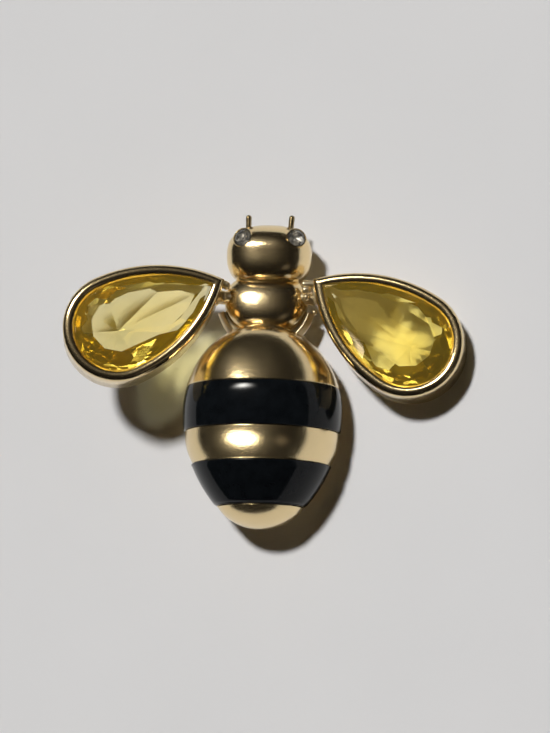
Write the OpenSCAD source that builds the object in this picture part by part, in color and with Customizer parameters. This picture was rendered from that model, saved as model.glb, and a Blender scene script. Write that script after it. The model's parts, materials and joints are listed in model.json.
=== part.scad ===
// Bee brooch: a gold casting with two pear stones for wings, two enamel bands and a pin at the back.
// It is modelled on its flat back, then rolled onto its pin fitting and right wing, as it lies on a table.
// Millimetres, +Z up. In the brooch's own frame +Y runs to the head and z = 0 is the flat back.

/* [Abdomen] */
// Greatest width of the abdomen
abdomen_w = 15.9; // [14:0.1:19]
// Length of the abdomen ahead of its widest place
abdomen_front_l = 9.1; // [8.5:0.1:11]
// Length of the abdomen behind its widest place
abdomen_rear_l = 11.5; // [10.5:0.1:14]
// Radius of the blunt front end
abdomen_front_r = 7.0; // [5.5:0.1:7.5]
// Radius of the rear end
abdomen_rear_r = 5.6; // [4.5:0.1:6.2]
// Height of the body's middle line above its flat back
axis_z = 0.5; // [0.2:0.1:1.2]

/* [Thorax and head] */
// Width of the thorax
thorax_w = 7.5; // [6.8:0.1:8.6]
// Length of the thorax
thorax_l = 4.9; // [4.2:0.1:6]
// Radius of the thorax's flattened ends
thorax_end_r = 5.4; // [5:0.1:8]
// Distance of the thorax from the abdomen's middle line, to the right
thorax_x = 0.15; // [-0.5:0.05:0.5]
// Width of the head
head_w = 8.5; // [7.5:0.1:10]
// Length of the head
head_l = 5.9; // [5:0.1:7]
// Radius of the head's flattened ends
head_end_r = 9.0; // [6.5:0.1:12]
// Distance of the head from the abdomen's middle line, to the right
head_x = 0.35; // [-0.5:0.05:0.6]
// How far the head runs into the thorax
neck_overlap = 0.65; // [0.3:0.05:1]
// How far the thorax runs into the abdomen
waist_overlap = 0.3; // [0.15:0.05:0.8]

/* [Antennae] */
// Diameter of an antenna
antenna_d = 0.52; // [0.4:0.02:0.9]
// Length of an antenna beyond the head
antenna_l = 0.95; // [0.5:0.05:2.5]
// Distance of each antenna from the head's middle
antenna_x = 2.05; // [1.2:0.05:2.4]
// Height of the antennae above the body's middle line
antenna_z = 0.9; // [0:0.1:1.5]
// Outward lean of the left antenna
antenna_left_lean = 1; // [0:1:25]
// Outward lean of the right antenna
antenna_right_lean = 15; // [0:1:25]

/* [Eyes] */
// Diameter of an eye stone
eye_d = 1.8; // [1.4:0.1:2.2]
// Distance of each eye from the head's middle
eye_x = 2.8; // [2.4:0.05:3]
// Distance of the eyes ahead of the head's middle
eye_y = 1.15; // [0.6:0.05:1.4]
// Outward lean of the eyes
eye_lean_out = 24; // [0:1:40]
// Forward lean of the eyes
eye_lean_ahead = 14; // [0:1:30]
// Wall of the cup round an eye stone
eye_cup_wall = 0.16; // [0.12:0.02:0.3]
// Height of an eye stone's upper facets
eye_crown_h = 0.3; // [0.2:0.05:0.4]
// Depth of an eye stone's lower facets
eye_pavilion_h = 0.55; // [0.4:0.05:0.7]

/* [Enamel bands] */
// Distance from the front end of the abdomen to the front band
band_front_at = 6.6; // [5:0.1:7]
// Width of the front band
band_front_w = 4.4; // [3:0.1:5]
// Width of the gold between the bands
band_gap = 3.3; // [2.5:0.1:4]
// Width of the rear band
band_rear_w = 4.1; // [3:0.1:4.5]
// Depth of the enamel
enamel_t = 0.5; // [0.3:0.05:0.8]
// Angle of the bands' ends above the body's middle line
band_foot = 1.5; // [1:0.5:6]

/* [Wing stones] */
// Length of a pear stone
stone_l = 16; // [14.5:0.1:18]
// Width of a pear stone
stone_w = 10; // [9:0.1:11]
// Height of the stone's upper facets
crown_h = 1.1; // [0.9:0.05:1.4]
// Width of the facets round the table, at the stone's round end
crown_ring = 2.2; // [1.8:0.1:2.6]
// Distance from the stone's point to the table's point
table_tip = 1.3; // [1.1:0.1:1.8]
// Thickness of the stone's edge
girdle_t = 0.2; // [0.1:0.05:0.4]
// Depth of the stone's lower facets
pavilion_h = 2.9; // [2.4:0.1:3]

/* [Wing settings] */
// Height of a setting's wall
setting_h = 3.85; // [3.8:0.05:5]
// Thickness of a setting's wall outside the stone
wall_t = 0.45; // [0.35:0.05:0.7]
// How far the rim reaches over the stone
rim_over = 0.35; // [0.25:0.05:0.45]
// Width of the ledge under the stone
ledge_w = 0.6; // [0.4:0.05:0.9]
// Distance of the left stone's point from the abdomen's middle line
left_root_x = 4.8; // [4.6:0.05:5.8]
// Angle by which the left wing sweeps back
left_sweep = 26.5; // [20:0.5:36]
// Angle by which the left wing rises outwards
left_rise = 7; // [3:0.5:10]
// Distance of the right stone's point from the abdomen's middle line
right_root_x = 5.75; // [5.2:0.05:6]
// Angle by which the right wing sweeps back
right_sweep = 34; // [20:0.5:36]
// Angle by which the right wing rises outwards
right_rise = 6.5; // [3:0.5:10]
// Distance of the stones' points ahead of the thorax's middle
root_y = 1.3; // [0.8:0.05:1.8]

/* [Wing joints] */
// Diameter of the bars between thorax and settings
bar_d = 1.1; // [0.8:0.05:1.4]
// Distance between the thorax's ends of the front and rear bars
bar_spread = 2.1; // [1.7:0.1:2.4]
// Height of the bars above the flat back
bar_z = 1.5; // [1:0.1:2.2]
// Distance along the wing from the stone's point to the rear bar
rear_bar_u = 1.2; // [0.8:0.1:1.8]
// Thickness of the plate behind the thorax
plate_t = 1.0; // [0.7:0.1:1.4]
// Half width of the plate
plate_x = 4.4; // [3.9:0.1:4.5]

/* [Pin fitting] */
// Depth of the pin fitting behind the flat back
fitting_h = 4.4; // [4:0.1:5.5]
// Diameter of the hinge block and of the catch
fitting_d = 3.2; // [2.8:0.1:3.4]
// Length of the hinge block and of the catch
fitting_l = 2.0; // [1.5:0.1:3]
// Width of the bar soldered to the back
foot_w = 1.8; // [1.4:0.1:2.4]
// Thickness of the bar soldered to the back
foot_t = 0.5; // [0.4:0.1:0.8]
// Distance of the hinge block's middle ahead of the thorax's middle
hinge_y = 0.8; // [0:0.1:1.2]
// Distance between the middles of hinge block and catch
fitting_span = 17.5; // [14:0.5:20]
// Diameter of the pin
pin_d = 0.8; // [0.7:0.05:1]
// Length of the pin's tapered point
pin_point_l = 1.6; // [1:0.1:2.5]
// Wall of the catch
catch_wall = 0.6; // [0.5:0.05:0.8]

/* [Fits] */
// Gap round each set stone and enamel band
fit_gap = 0.05; // [0.03:0.01:0.08]

/* [Hidden] */
$fn = 96;
// A length greater than the brooch's, for cutting blocks
far = 60;

gold = [0.83, 0.66, 0.32];
black = [0.04, 0.04, 0.04];
citrine = [0.93, 0.85, 0.25];
crystal = [0.85, 0.88, 0.9];

// Places along the body, from the thorax's middle
head_y = thorax_l / 2 - neck_overlap + head_l / 2;
abdomen_tip_y = -thorax_l / 2 + waist_overlap;
abdomen_y = abdomen_tip_y - abdomen_front_l;
abdomen_end_y = abdomen_y - abdomen_rear_l;
front_band_y = abdomen_tip_y - band_front_at;
rear_band_y = front_band_y - band_front_w - band_gap;

// Turned forms: each half has a side arc and an end arc that run into each other

// Radius of the side arc for a half of greatest radius a, length b and end radius e
function side_r(a, b, e) = (a * a + b * b - 2 * b * e) / (2 * (a - e));

// Radius of such a form at the distance y from its widest place, on the side arc
function radius_at(y, a, b, e) = let (s = side_r(a, b, e)) a - s + sqrt(s * s - y * y);

// The smaller arc is drawn this much larger, so that it crosses the greater one cleanly
arc_lap = 0.002;

module half_profile(a, b, e, inset) {
    s = side_r(a, b, e);
    // Where the two arcs meet
    meet_x = a - s + (s - inset) * (a - s) / (e - s);
    meet_y = (s - inset) * (e - b) / (e - s);
    intersection() {
        union() {
            if (s > e) {
                intersection() {
                    translate([a - s, 0]) circle(r = s - inset);
                    translate([-far, -far]) square([2 * far, far + meet_y]);
                }
                translate([0, b - e]) circle(r = e - inset + arc_lap);
            } else {
                intersection() {
                    translate([0, b - e]) circle(r = e - inset);
                    translate([-far, -far]) square([far + meet_x, 2 * far]);
                }
                translate([a - s, 0]) circle(r = s - inset + arc_lap);
            }
        }
        square(far);
    }
}

// The right half of a form's outline; the list holds its greatest radius, then length and end radius of
// its front and of its rear
module profile(form, inset) {
    half_profile(form[0], form[1], form[2], inset);
    mirror([0, 1]) half_profile(form[0], form[3], form[4], inset);
}

// Turns its children, drawn to the right of the Y axis, about that axis at the height axis_z
module turned(foot_angle = 0) {
    translate([0, 0, axis_z]) rotate([90, -foot_angle, 0]) rotate_extrude(angle = 180 - 2 * foot_angle)
        mirror([0, 1]) children();
}

// A form is turned above axis_z and stands on a straight foot
module form(form) {
    turned() profile(form, 0);
    linear_extrude(axis_z) {
        profile(form, 0);
        mirror([1, 0]) profile(form, 0);
    }
}

abdomen = [abdomen_w / 2, abdomen_front_l, abdomen_front_r, abdomen_rear_l, abdomen_rear_r];
thorax = [thorax_w / 2, thorax_l / 2, thorax_end_r, thorax_l / 2, thorax_end_r];
head = [head_w / 2, head_l / 2, head_end_r, head_l / 2, head_end_r];

// Enamel: a shell of the abdomen's own form, let into the gold
module band_form(y, w, gap, proud) {
    translate([0, abdomen_y, 0]) turned(band_foot - gap) difference() {
        intersection() {
            profile(abdomen, -proud);
            translate([0, y - w - gap - abdomen_y]) square([far, w + 2 * gap]);
        }
        profile(abdomen, enamel_t + gap);
    }
}

// Pear stones: the middle of the round end is the origin, the point lies along -X and z = 0 is the
// upper edge of the girdle
stone_r = stone_w / 2;
stone_t = stone_l - stone_r;
flank_c = (stone_t * stone_t - stone_r * stone_r) / (2 * stone_r);
flank_r = stone_r + flank_c;
table_r = stone_r - crown_ring;
table_t = stone_t - table_tip;

// Directions of the facets round a stone, measured from its point
main_dirs = [50, 76, 108, 144, 180, -144, -108, -76, -50];
half_dirs = [42, 62, 90, 126, 162, -162, -126, -90, -62, -42];
star_dirs = [62, 90, 126, 162, -162, -126, -90, -62];
// Where the crown's two rows of facets meet, as shares of its height and of its width
knee_h = 0.55;
knee_w = 0.42;
// The star facets reach past the table's edge by this share of the crown's width
star_reach = 1.12;
// Where the lower half facets end, as shares of the pavilion's depth and of the stone's half width
heel_h = 0.62;
heel_w = 0.5;

// Distance from the round end's middle to a pear outline's edge, square to the direction v
function edge_at(v, r, t) =
    let (c = (t * t - r * r) / (2 * r))
    v >= 90 ? r : v >= atan(c / t) ? r + c - c * sin(v) : t * cos(v);
function stone_edge(v) = edge_at(abs(v), stone_r, stone_t);
function crown_w(v) = stone_edge(v) - edge_at(abs(v), table_r, table_t);

// The half of space that a facet leaves: its plane runs from the distance d0 at the height z0 to d1 at z1
module facet(v, d0, z0, d1, z1, grow) {
    lean = atan2(d0 - d1, abs(z1 - z0));
    rotate([0, 0, 180 - v]) translate([d0, 0, z0]) rotate([0, z1 > z0 ? -lean : lean, 0])
        translate([grow - far, -far / 2, -far / 2]) cube(far);
}

// A pear outline, widened by e
module pear(e = 0) {
    circle(r = stone_r + e);
    intersection() {
        translate([0, -flank_c]) circle(r = flank_r + e);
        translate([0, flank_c]) circle(r = flank_r + e);
        translate([-far, -far / 2]) square(far);
    }
}

module pear_stone(grow = 0) {
    low = girdle_t + pavilion_h;
    intersection() {
        translate([0, 0, -low - grow]) linear_extrude(low + crown_h + 2 * grow) pear(grow);
        // Crown
        intersection_for (v = main_dirs)
            facet(v, stone_edge(v), 0, stone_edge(v) - crown_w(v), crown_h, grow);
        intersection_for (v = half_dirs)
            facet(v, stone_edge(v), 0, stone_edge(v) - knee_w * crown_w(v), knee_h * crown_h, grow);
        intersection_for (v = star_dirs)
            facet(v, stone_edge(v) - knee_w * crown_w(v), knee_h * crown_h,
                stone_edge(v) - star_reach * crown_w(v), crown_h, grow);
        // Pavilion
        intersection_for (v = main_dirs)
            facet(v, stone_edge(v), -girdle_t, 0, -low, grow);
        intersection_for (v = half_dirs)
            facet(v, stone_edge(v), -girdle_t, heel_w * stone_edge(v), -girdle_t - heel_h * pavilion_h,
                grow);
    }
}

// Settings: a wall with a ledge and a round rim, swept along the stone's outline
rim_r = (wall_t + rim_over) / 2;
rim_z = setting_h - rim_r;
// Height of the girdle's upper edge, at which the crown passes under the rim's inner edge
girdle_z = rim_z - fit_gap - rim_over * knee_h * crown_h / (knee_w * crown_ring);
// Extra angle past the point over which a flank is swept before it is cut to length
past_point = 8;
flank_angle = 90 - atan(flank_c / stone_t) + past_point;

module wall_section() {
    translate([-ledge_w, 0]) square([ledge_w + wall_t, girdle_z - girdle_t]);
    translate([-rim_over, 0]) square([2 * rim_r, rim_z]);
    translate([wall_t - rim_r, rim_z]) circle(r = rim_r);
}

module flank_wall() {
    intersection() {
        translate([0, -flank_c, 0]) rotate([0, 0, 90]) rotate_extrude(angle = flank_angle)
            translate([flank_r, 0]) wall_section();
        translate([-far, 0, -far / 2]) cube(far);
    }
}

module setting() {
    rotate([0, 0, -90]) rotate_extrude(angle = 180) translate([stone_r, 0]) wall_section();
    flank_wall();
    mirror([0, 1, 0]) flank_wall();
}

module seated() {
    translate([0, 0, girdle_z]) children();
}

// A wing's own frame: the origin is the middle of its round end and z leaves the stone's face
module on_left_wing() {
    mirror([1, 0, 0]) translate([left_root_x, root_y, 0]) rotate([0, -left_rise, -left_sweep])
        translate([stone_t, 0, 0]) children();
}

module on_right_wing() {
    translate([right_root_x, root_y, 0]) rotate([0, -right_rise, -right_sweep])
        translate([stone_t, 0, 0]) children();
}

// Wing joints
// Where the bars end in a setting's wall, along and across the wing from the stone's point
front_bar_end = [0.1, 0.25];
rear_bar_end = [rear_bar_u, flank_c - sqrt(flank_r * flank_r - pow(stone_t - rear_bar_u, 2))];
// Depth at which the bars start inside the thorax
bar_start_x = thorax_w / 2 - 1.4;

function beside(root_x, sweep, p) = [root_x + p[0] * cos(sweep) + p[1] * sin(sweep),
                                     root_y - p[0] * sin(sweep) + p[1] * cos(sweep), bar_z];

// A bar with a round end
module bar(p, q) {
    d = q - p;
    translate(p) rotate([0, acos(d[2] / norm(d)), atan2(d[1], d[0])]) rotate_extrude() intersection() {
        union() {
            square([bar_d / 2, norm(d)]);
            translate([0, norm(d)]) circle(d = bar_d);
        }
        square(far);
    }
}

// The two bars of a wing on the right; shift is the thorax's distance towards that wing
module joint_bars(root_x, sweep, shift) {
    bar([shift + bar_start_x, bar_spread / 2 + root_y / 2, bar_z], beside(root_x, sweep, front_bar_end));
    bar([shift + bar_start_x, root_y / 2 - bar_spread / 2, bar_z], beside(root_x, sweep, rear_bar_end));
}

// The plate behind the thorax narrows to the abdomen
module joint_plate() {
    front = root_y / 2;
    rear = abdomen_tip_y - 0.5;
    narrow = plate_x - 1.1;
    translate([thorax_x, 0, 0]) linear_extrude(plate_t)
        polygon([[plate_x, front], [plate_x, -bar_spread / 2], [narrow, rear],
                 [-narrow, rear], [-plate_x, -bar_spread / 2], [-plate_x, front]]);
}

// Antennae
antenna_y = head_y + head_l / 2 + antenna_l;
// Length of an antenna's root inside the head
antenna_root = 1.4;

module antenna(x, lean) {
    l = antenna_l + antenna_root;
    translate([x, antenna_y - l, axis_z + antenna_z]) rotate([-90, 0, -lean])
        cylinder(d = antenna_d, h = l / cos(lean));
}

// Eyes
eye_surface_z = axis_z + sqrt(pow(radius_at(eye_y, head_w / 2, head_l / 2, head_end_r), 2) - eye_x * eye_x);
eye_girdle_t = 0.1;
// Height of the cup's edge above the head's surface
eye_cup_h = 0.12;
// Depth of the bore under the cup's edge
eye_bore_h = eye_girdle_t + eye_pavilion_h + 2 * fit_gap;
eye_cup_d = eye_d + 2 * fit_gap + 2 * eye_cup_wall;
eye_steps = 8;

module on_eye(side) {
    translate([head_x + side * eye_x, head_y + eye_y, eye_surface_z + eye_cup_h])
        rotate([-eye_lean_ahead, side * eye_lean_out, 0]) children();
}

// A small round stone; z = 0 is the upper edge of its girdle
module eye_stone() {
    r = eye_d / 2;
    low = eye_girdle_t + eye_pavilion_h;
    intersection() {
        translate([0, 0, -low]) cylinder(r = r, h = low + eye_crown_h);
        intersection_for (i = [0:eye_steps - 1])
            facet(i * 360 / eye_steps, r, 0, 0.55 * r, eye_crown_h, 0);
        intersection_for (i = [0:eye_steps - 1])
            facet((i + 0.5) * 360 / eye_steps, r, 0, 0.8 * r, 0.6 * eye_crown_h, 0);
        intersection_for (i = [0:eye_steps - 1])
            facet(i * 360 / eye_steps, r, -eye_girdle_t, 0, -low, 0);
    }
}

// The gold casting
module gold_forms() {
    translate([0, abdomen_y, 0]) form(abdomen);
    translate([thorax_x, 0, 0]) form(thorax);
    translate([head_x, head_y, 0]) form(head);
    joint_plate();
    on_left_wing() setting();
    on_right_wing() setting();
    joint_bars(right_root_x, right_sweep, thorax_x);
    mirror([1, 0, 0]) joint_bars(left_root_x, left_sweep, -thorax_x);
    antenna(head_x - antenna_x, -antenna_left_lean);
    antenna(head_x + antenna_x, antenna_right_lean);
    for (side = [-1, 1])
        on_eye(side) translate([0, 0, -eye_bore_h - 0.4]) cylinder(d = eye_cup_d, h = eye_bore_h + 0.4);
}

module casting() {
    color(gold) difference() {
        gold_forms();
        band_form(front_band_y, band_front_w, fit_gap, fit_gap);
        band_form(rear_band_y, band_rear_w, fit_gap, fit_gap);
        on_left_wing() seated() pear_stone(fit_gap);
        on_right_wing() seated() pear_stone(fit_gap);
        for (side = [-1, 1])
            on_eye(side) translate([0, 0, -eye_bore_h]) cylinder(d = eye_d + 2 * fit_gap, h = far);
    }
}

module enamel_front() {
    color(black) band_form(front_band_y, band_front_w, 0, 0);
}

module enamel_rear() {
    color(black) band_form(rear_band_y, band_rear_w, 0, 0);
}

module wing_stone_left() {
    color(citrine) on_left_wing() seated() pear_stone();
}

module wing_stone_right() {
    color(citrine) on_right_wing() seated() pear_stone();
}

module eye_stone_left() {
    color(crystal) on_eye(-1) translate([0, 0, -fit_gap]) eye_stone();
}

module eye_stone_right() {
    color(crystal) on_eye(1) translate([0, 0, -fit_gap]) eye_stone();
}

// The pin fitting: a foot bar, a round hinge block, a round catch open to one side, and the closed pin
fitting_r = fitting_d / 2;
pin_z = fitting_r - fitting_h;
catch_y = hinge_y - fitting_span;
// Length of the pin past the catch
pin_past = 0.4;
pin_l = fitting_span + fitting_l / 2 + pin_past;

module along_y(y, d, l) {
    translate([0, y, pin_z]) rotate([90, 0, 0]) cylinder(d = d, h = l, center = true);
}

module pin_fitting() {
    color(gold) {
        translate([-foot_w / 2, catch_y - fitting_l / 2, -foot_t])
            cube([foot_w, fitting_span + fitting_l, foot_t]);
        difference() {
            union() for (y = [hinge_y, catch_y]) {
                along_y(y, fitting_d, fitting_l);
                translate([-foot_w / 2, y - fitting_l / 2, pin_z])
                    cube([foot_w, fitting_l, -pin_z - foot_t / 2]);
            }
            along_y(catch_y, fitting_d - 2 * catch_wall, 2 * fitting_l);
            // The catch's mouth
            translate([-fitting_d, catch_y - fitting_l, pin_z - pin_d * 0.6])
                cube([fitting_d, 2 * fitting_l, pin_d * 1.2]);
        }
        translate([0, hinge_y, pin_z]) rotate([90, 0, 0]) cylinder(d = pin_d, h = pin_l);
        translate([0, hinge_y - pin_l, pin_z]) rotate([90, 0, 0])
            cylinder(d1 = pin_d, d2 = pin_d / 5, h = pin_point_l);
    }
}

// Rest: the brooch rolls about Y until its fitting and its right wing touch the same plane

// A wing's directions in the brooch's frame: along it, across it and out of its face
function wing_u(sweep, rise) = [cos(rise) * cos(sweep), -cos(rise) * sin(sweep), sin(rise)];
function wing_v(sweep) = [sin(sweep), cos(sweep), 0];
function wing_w(sweep, rise) = [-sin(rise) * cos(sweep), sin(rise) * sin(sweep), cos(rise)];

// Greatest reach in the direction d of a ring of radius r round a round end, at the height w in the wing
function ring_reach(root_x, sweep, rise, w, r, d) =
    let (u = wing_u(sweep, rise), v = wing_v(sweep))
    ([root_x, root_y, 0] + stone_t * u + w * wing_w(sweep, rise)) * d
        + r * sqrt(pow(u * d, 2) + pow(v * d, 2));
function wing_reach(root_x, sweep, rise, d) = max(
    ring_reach(root_x, sweep, rise, 0, stone_r + wall_t, d),
    ring_reach(root_x, sweep, rise, rim_z, stone_r + wall_t - rim_r, d) + rim_r);

function down(roll) = [sin(roll), 0, -cos(roll)];
function across(roll) = [cos(roll), 0, sin(roll)];
function fitting_reach(roll) = -pin_z * cos(roll) + fitting_r;
function right_reach(roll) = wing_reach(right_root_x, right_sweep, right_rise, down(roll));
function find_roll(low, high, turns) =
    let (mid = (low + high) / 2)
    turns == 0 ? mid :
    right_reach(mid) > fitting_reach(mid) ? find_roll(low, mid, turns - 1) :
    find_roll(mid, high, turns - 1);

roll = find_roll(0, 45, 40);
x_max = wing_reach(right_root_x, right_sweep, right_rise, across(roll));
x_min = -wing_reach(left_root_x, left_sweep, left_rise, [across(roll)[0], 0, -across(roll)[2]]);

// The origin lies on the table, under the middle of the brooch
module at_rest() {
    translate([-(x_max + x_min) / 2, -(antenna_y + abdomen_end_y) / 2, fitting_reach(roll)])
        rotate([0, roll, 0]) children();
}

at_rest() casting();
at_rest() enamel_front();
at_rest() enamel_rear();
at_rest() wing_stone_left();
at_rest() wing_stone_right();
at_rest() eye_stone_left();
at_rest() eye_stone_right();
at_rest() pin_fitting();
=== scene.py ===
"""Looks of the bee brooch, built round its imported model.

Pieces are drawn in millimetres in the brooch's own frame: +Y to the head, z = 0 at the flat back and the
origin at the thorax's middle. Each finished mesh is then laid down as the brooch rests on its pin fitting and
right wing.
"""
import json
import math
from collections import namedtuple
from types import SimpleNamespace

import bmesh
import bpy
from bpy.props import FloatProperty, FloatVectorProperty, PointerProperty
from mathutils import Matrix, Vector


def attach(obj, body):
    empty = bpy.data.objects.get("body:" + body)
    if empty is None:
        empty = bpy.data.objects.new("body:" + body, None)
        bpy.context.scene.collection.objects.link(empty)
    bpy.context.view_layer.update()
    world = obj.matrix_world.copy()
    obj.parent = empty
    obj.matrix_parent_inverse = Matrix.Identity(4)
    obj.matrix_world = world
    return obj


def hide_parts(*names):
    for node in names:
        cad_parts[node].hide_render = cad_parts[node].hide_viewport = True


bl_info = {
    "name": "Bee brooch",
    "version": (1, 0, 0),
    "blender": (4, 5, 0),
    "location": "View3D > Sidebar > Brooch",
    "description": "A gold bee with enamel bands, pear stones for wings and a pin behind, on a pale surface",
    "category": "Object",
}

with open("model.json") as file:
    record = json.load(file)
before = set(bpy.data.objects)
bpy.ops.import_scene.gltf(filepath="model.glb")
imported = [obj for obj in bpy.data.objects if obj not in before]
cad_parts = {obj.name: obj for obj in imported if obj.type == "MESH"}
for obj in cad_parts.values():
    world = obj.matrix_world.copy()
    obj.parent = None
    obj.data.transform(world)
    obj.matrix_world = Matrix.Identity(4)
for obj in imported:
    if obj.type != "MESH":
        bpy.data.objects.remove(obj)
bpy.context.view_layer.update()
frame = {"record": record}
MM = 0.001
# Vertices closer than this, in millimetres, are one
WELD = 1e-4
# Directions of the brooch's own frame: to the head, and up from the back
LENGTHWAYS = (0, 1, 0)
UPWARDS = (0, 0, 1)
# Edges of a cut stone that turn by more than this, in degrees, stay crisp
FACET_ANGLE = 8.0
# How far the pin's straight length runs past its catch, in millimetres
PIN_PAST = 0.4


def length(name, description, mm):
    """A length to change, given here in millimetres."""
    return FloatProperty(name=name, description=description, default=mm * MM, unit="LENGTH", precision=5)


def angle(name, description, degrees):
    """An angle to change, given here in degrees."""
    return FloatProperty(name=name, description=description, default=math.radians(degrees), subtype="ANGLE")


def share(name, description, part):
    """A share of a whole to change."""
    return FloatProperty(name=name, description=description, default=part, subtype="FACTOR", min=0.0, max=1.0)


class BodySizes(bpy.types.PropertyGroup):
    """Sizes of the abdomen, thorax and head."""

    abdomen_w: length("Abdomen width", "Greatest width of the abdomen", 15.9)
    abdomen_front_l: length("Abdomen front", "Length ahead of its widest place", 9.1)
    abdomen_rear_l: length("Abdomen rear", "Length behind its widest place", 11.5)
    abdomen_front_r: length("Front end radius", "Radius of the blunt front end", 7.0)
    abdomen_rear_r: length("Rear end radius", "Radius of the rear end", 5.6)
    axis_z: length("Axis height", "Height of the middle line above the back", 0.5)
    thorax_w: length("Thorax width", "Width of the thorax", 8.3)
    thorax_l: length("Thorax length", "Length of the thorax", 4.9)
    thorax_under: length("Thorax under", "How far it runs under the abdomen", 1.0)
    thorax_ahead: length("Thorax ahead", "How far it runs into the head", 0.45)
    thorax_end_r: length("Thorax end radius", "Radius of its flattened ends", 5.4)
    thorax_x: length("Thorax shift", "Distance from the middle line", 0.15)
    thorax_h: share("Thorax height", "Its height as a share of half its width", 0.57)
    head_h: share("Head height", "Its height as a share of half its width", 0.8)
    head_w: length("Head width", "Width of the head", 8.5)
    head_l: length("Head length", "Length of the head", 5.9)
    head_under: length("Head under", "How far it runs into the thorax", 0.3)
    head_end_r: length("Head end radius", "Radius of its flattened ends", 9.0)
    head_x: length("Head shift", "Distance from the middle line", 0.35)
    neck_overlap: length("Neck overlap", "How far the head runs into the thorax", 0.65)
    waist_overlap: length("Waist overlap", "How far thorax and abdomen meet", 0.3)


class BandSizes(bpy.types.PropertyGroup):
    """Sizes of the enamel bands."""

    front_at: length("Front band", "Distance from the abdomen's front end", 6.6)
    front_w: length("Front width", "Width of the front band", 4.4)
    gap: length("Gold between", "Width of the gold between the bands", 3.3)
    rear_w: length("Rear width", "Width of the rear band", 4.1)
    depth: length("Depth", "Depth of the enamel", 0.5)
    foot: angle("Foot angle", "Angle of the ends above the middle line", 1.5)
    seam: length("Seam", "Gap between enamel and gold", 0.01)
    lip: length("Lip", "Rounding of gold and enamel along the seam", 0.1)
    sink: length("Sink", "How far the gold dips to the enamel", 0.16)
    sink_front: length("Front sink", "How far the foremost gold dips", 0.03)
    sink_l: length("Sink length", "Length over which the gold dips", 1.6)


class WingSizes(bpy.types.PropertyGroup):
    """Sizes of the pear stones and their settings."""

    stone_l: length("Stone length", "Length of a pear stone", 16.0)
    stone_w: length("Stone width", "Width of a pear stone", 10.0)
    crown_h: length("Crown height", "Height of the upper facets", 1.5)
    crown_ring: length("Crown ring", "Width of the facets round the table", 2.2)
    table_tip: length("Table tip", "From the stone's point to the table's", 1.3)
    girdle_t: length("Girdle", "Thickness of the stone's edge", 0.2)
    pavilion_h: length("Pavilion", "Depth of the lower facets", 3.0)
    heel_w: length("Heel width", "Width of the steep facets below", 1.85)
    heel_h: length("Heel height", "Height of the steep facets below", 1.4)
    setting_h: length("Setting height", "Height of a setting's wall", 4.05)
    wall_t: length("Wall", "Thickness of the wall outside the stone", 0.45)
    rim_over: length("Rim", "How far the rim reaches over the stone", 0.72)
    rim_h: length("Rim height", "Height of the rolled rim's upper half", 0.5)
    girdle_z: length("Girdle height", "Height of the stone's edge", 3.17)
    ledge_w: length("Ledge", "Width of the ledge under the stone", 0.6)
    fit_gap: length("Gap", "Gap round a set stone", 0.05)
    root_y: length("Root", "Distance of the points ahead of the thorax", 1.3)
    left_x: length("Left root", "Distance of the left point sideways", 4.8)
    left_sweep: angle("Left sweep", "Angle swept back", 26.5)
    left_rise: angle("Left rise", "Angle risen outwards", 7.0)
    right_x: length("Right root", "Distance of the right point sideways", 5.75)
    right_sweep: angle("Right sweep", "Angle swept back", 34.0)
    right_rise: angle("Right rise", "Angle risen outwards", 6.5)


class TrimSizes(bpy.types.PropertyGroup):
    """Sizes of eyes, antennae, wing joints and the pin fitting."""

    eye_d: length("Eye stone", "Diameter of an eye stone", 1.8)
    eye_x: length("Eye spread", "Distance of an eye sideways", 2.72)
    eye_shift: length("Eye shift", "Distance of both eyes to the right of the head's middle", 0.15)
    eye_y: length("Eye ahead", "Distance ahead of the head's middle", 1.35)
    eye_out: angle("Eye lean out", "Outward lean of the eyes", 24.0)
    eye_ahead: angle("Eye lean ahead", "Forward lean of the eyes", 14.0)
    cup_wall: length("Cup wall", "Wall round an eye stone", 0.09)
    cup_h: length("Cup height", "Height of the cup above the head", 0.12)
    antenna_d: length("Antenna", "Diameter of an antenna", 0.58)
    antenna_l: length("Antenna length", "Length beyond the head", 0.95)
    antenna_x: length("Antenna spread", "Distance from the head's middle", 2.05)
    antenna_z: length("Antenna height", "Height above the middle line", 0.9)
    plate_t: length("Plate", "Thickness of the plate behind the thorax", 1.0)
    plate_x: length("Plate half width", "Half width of the plate", 4.4)
    fitting_h: length("Fitting height", "Depth of the pin fitting", 4.4)
    fitting_d: length("Fitting", "Diameter of hinge block and catch", 3.2)
    fitting_l: length("Fitting length", "Length of hinge block and catch", 2.0)
    foot_w: length("Foot width", "Width of the soldered bar", 1.8)
    foot_t: length("Foot", "Thickness of the soldered bar", 0.5)
    hinge_y: length("Hinge", "Distance of the hinge ahead of the thorax", 0.8)
    span: length("Span", "Distance between hinge block and catch", 17.5)
    pin_d: length("Pin", "Diameter of the pin", 0.8)
    pin_point_l: length("Pin point", "Length of the tapered point", 1.6)
    catch_wall: length("Catch wall", "Wall of the catch", 0.6)


class Finishes(bpy.types.PropertyGroup):
    """Colours of the finishes."""

    gold: FloatVectorProperty(name="Gold", description="Polished gold plating", subtype="COLOR",
                              default=(0.93, 0.74, 0.42))
    enamel: FloatVectorProperty(name="Enamel", description="Black enamel", subtype="COLOR",
                                default=(0.004, 0.005, 0.006))
    stone: FloatVectorProperty(name="Wing stones", description="Light through the stones", subtype="COLOR",
                               default=(0.99, 0.905, 0.27))
    surface: FloatVectorProperty(name="Surface", description="Pale surface under the brooch", subtype="COLOR",
                                 default=(0.8, 0.79, 0.785))


GROUPS = {
    "brooch_body": BodySizes,
    "brooch_bands": BandSizes,
    "brooch_wings": WingSizes,
    "brooch_trim": TrimSizes,
    "brooch_finishes": Finishes,
}

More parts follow.
